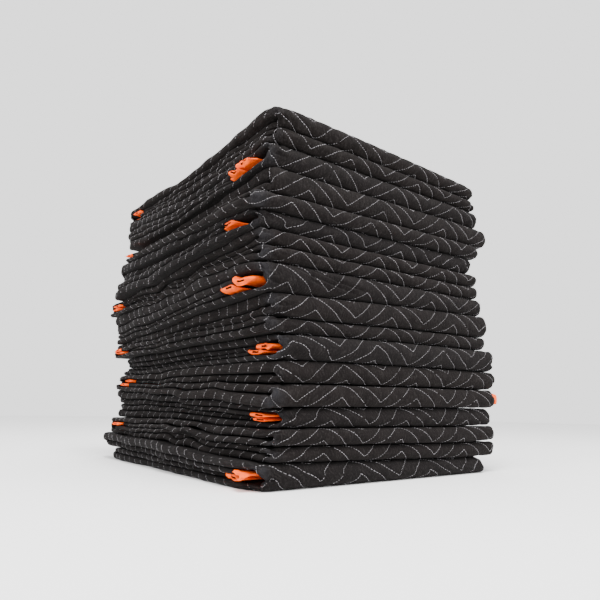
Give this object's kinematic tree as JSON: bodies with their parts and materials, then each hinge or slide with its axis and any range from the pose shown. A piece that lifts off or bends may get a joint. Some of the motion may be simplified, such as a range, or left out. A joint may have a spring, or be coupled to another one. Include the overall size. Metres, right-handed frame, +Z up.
{
  "type": "stack of folded moving blankets",
  "caption": "Stack of quilted moving blankets, each folded into a flat soft pad with its bound ends tucked in.",
  "frame": {"origin": "centre of the bounding box's underside, on the surface the bottom blanket lies on", "axes": "+Z up, +Y along the folded blankets from the front to the back, +X across them to the right"},
  "size_m": [0.5352, 0.589, 0.5074],
  "materials": {
    "quilted_cloth": "matte",
    "binding_tape": "matte"
  },
  "bodies": {
    "root": {"blanket_01": "quilted_cloth", "blanket_02": "quilted_cloth", "blanket_03": "quilted_cloth", "blanket_04": "quilted_cloth", "blanket_05": "quilted_cloth", "blanket_06": "quilted_cloth", "blanket_07": "quilted_cloth", "blanket_08": "quilted_cloth", "blanket_09": "quilted_cloth", "blanket_10": "quilted_cloth", "blanket_11": "quilted_cloth", "blanket_12": "quilted_cloth", "end_binding_01_lower": "binding_tape", "end_binding_01_upper": "binding_tape", "end_binding_02_lower": "binding_tape", "end_binding_02_upper": "binding_tape", "end_binding_03_lower": "binding_tape", "end_binding_03_upper": "binding_tape", "end_binding_04_lower": "binding_tape", "end_binding_04_upper": "binding_tape", "end_binding_05_lower": "binding_tape", "end_binding_05_upper": "binding_tape", "end_binding_06_lower": "binding_tape", "end_binding_06_upper": "binding_tape", "end_binding_07_lower": "binding_tape", "end_binding_07_upper": "binding_tape", "end_binding_08_lower": "binding_tape", "end_binding_08_upper": "binding_tape", "end_binding_09_lower": "binding_tape", "end_binding_09_upper": "binding_tape", "end_binding_10_lower": "binding_tape", "end_binding_10_upper": "binding_tape", "end_binding_11_lower": "binding_tape", "end_binding_11_upper": "binding_tape", "end_binding_12_lower": "binding_tape", "end_binding_12_upper": "binding_tape", "corner_binding_04": "binding_tape"}
  },
  "joints": []
}
